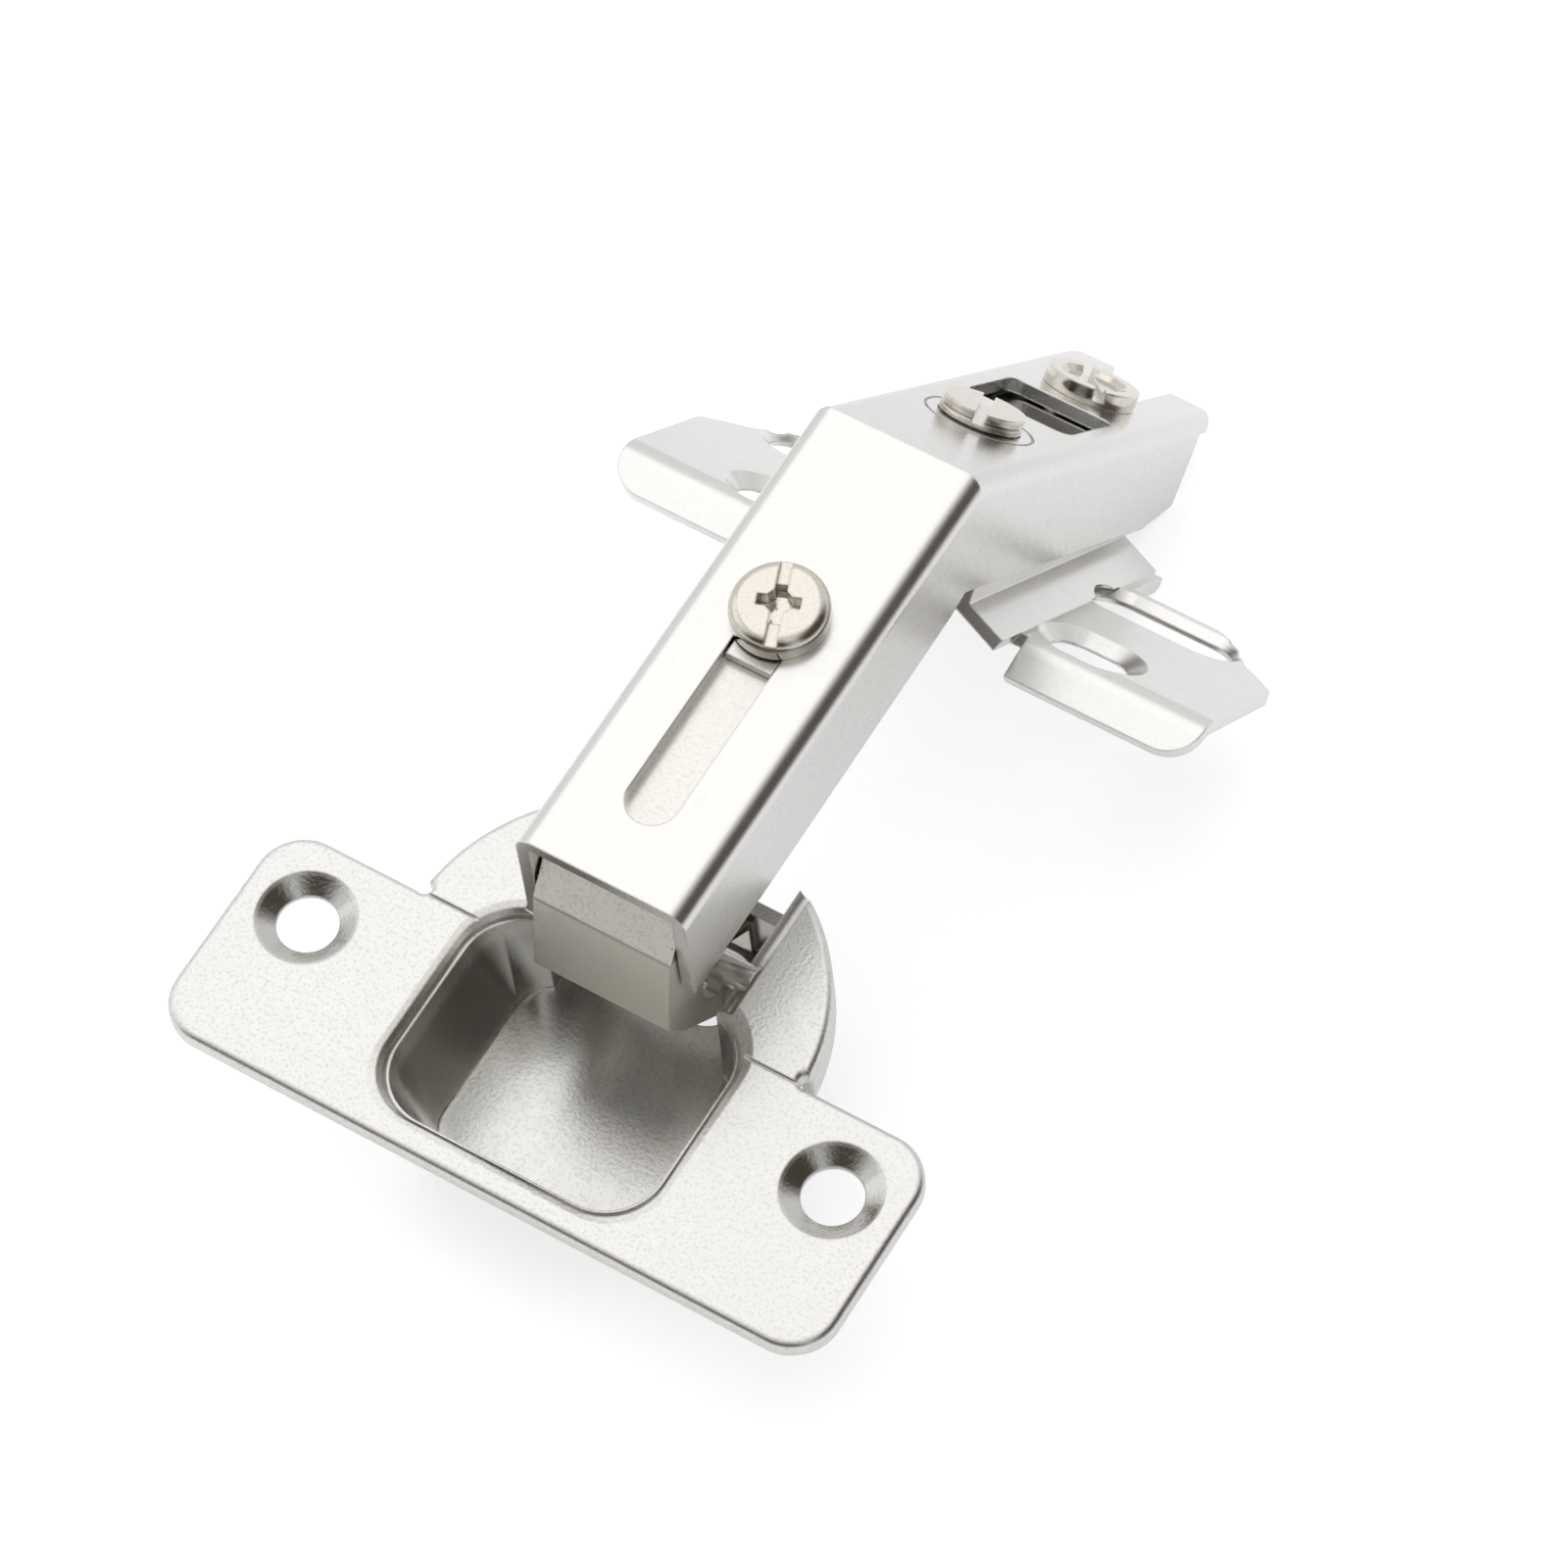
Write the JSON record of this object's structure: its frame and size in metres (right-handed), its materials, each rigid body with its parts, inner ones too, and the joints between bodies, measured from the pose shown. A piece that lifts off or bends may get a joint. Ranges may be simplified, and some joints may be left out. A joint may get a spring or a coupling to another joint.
{
  "type": "corner cabinet hinge",
  "caption": "Concealed cup hinge for a folding corner cabinet door, with a bent channel arm and a winged mounting plate.",
  "frame": {"origin": "centre of the round cup, level with the underside of the screw flange, which lies on the door", "axes": "+Z out of the door through the flange screws, +Y from the flange along the arm, +X to the right along the flange"},
  "size_m": [0.0602, 0.1009, 0.0448],
  "materials": {
    "pressed_steel": "satin nickel plate",
    "arm_steel": "satin nickel plate",
    "plate_steel": "satin nickel plate",
    "link_steel": "satin nickel plate",
    "slide_steel": "satin nickel plate",
    "screw_steel": "satin nickel plate",
    "pin_steel": "satin nickel plate",
    "spring_steel": "satin nickel plate"
  },
  "bodies": {
    "cup_body": {"cup": "pressed_steel", "outer_link_pin": "pin_steel", "inner_link_pin": "pin_steel", "closing_spring": "spring_steel", "spring_rivet_left": "pin_steel", "spring_rivet_right": "pin_steel"},
    "outer_link_body": {"outer_link": "link_steel"},
    "inner_link_body": {"inner_link": "link_steel"},
    "slide_body": {"inner_slide": "slide_steel", "outer_link_rivet": "pin_steel", "inner_link_rivet": "pin_steel", "clamp_plate": "slide_steel"},
    "arm_body": {"hinge_arm": "arm_steel"},
    "plate_body": {"mounting_plate": "plate_steel"},
    "clamp_screw_body": {"clamp_screw": "screw_steel"},
    "adjusting_screw_body": {"adjusting_screw": "screw_steel"},
    "fixing_screw_body": {"fixing_screw": "screw_steel"}
  },
  "joints": [
    {"name": "fold", "type": "hinge", "parent": "outer_link_body", "child": "slide_body", "pos_m": [0, 0.0072, 0.0078], "axis": [1, 0, 0], "range_deg": [-30, 60]},
    {"name": "outer_link_swing", "type": "hinge", "parent": "cup_body", "child": "outer_link_body", "pos_m": [0, 0.0075, -0.0045], "axis": [1, 0, 0], "range_deg": [-15, 30]},
    {"name": "inner_link_swing", "type": "hinge", "parent": "cup_body", "child": "inner_link_body", "pos_m": [0, 0.00696, -0.0003], "axis": [1, 0, 0], "range_deg": [-29.25, 58.5]},
    {"name": "arm_shift", "type": "slide", "parent": "slide_body", "child": "arm_body", "axis": [0, 1, 0], "range_m": [0, 0.014]},
    {"name": "plate_shift", "type": "slide", "parent": "arm_body", "child": "plate_body", "axis": [0, 0.66, -0.7513], "range_m": [-0.001, 0.003]},
    {"name": "clamp_screw_turn", "type": "hinge", "parent": "slide_body", "child": "clamp_screw_body", "pos_m": [0, 0.0279, 0.0174], "axis": [0, 0, 1], "continuous": true},
    {"name": "adjusting_screw_turn", "type": "hinge", "parent": "arm_body", "child": "adjusting_screw_body", "pos_m": [0, 0.05683, 0.005], "axis": [0, 0.7513, 0.66], "continuous": true},
    {"name": "fixing_screw_turn", "type": "hinge", "parent": "plate_body", "child": "fixing_screw_body", "pos_m": [0, 0.073, -0.0134], "axis": [0, 0.7513, 0.66], "continuous": true}
  ],
  "couplings": [
    {"joint": "outer_link_swing", "follows": "fold", "ratio": 0.5},
    {"joint": "inner_link_swing", "follows": "fold", "ratio": 0.975}
  ]
}
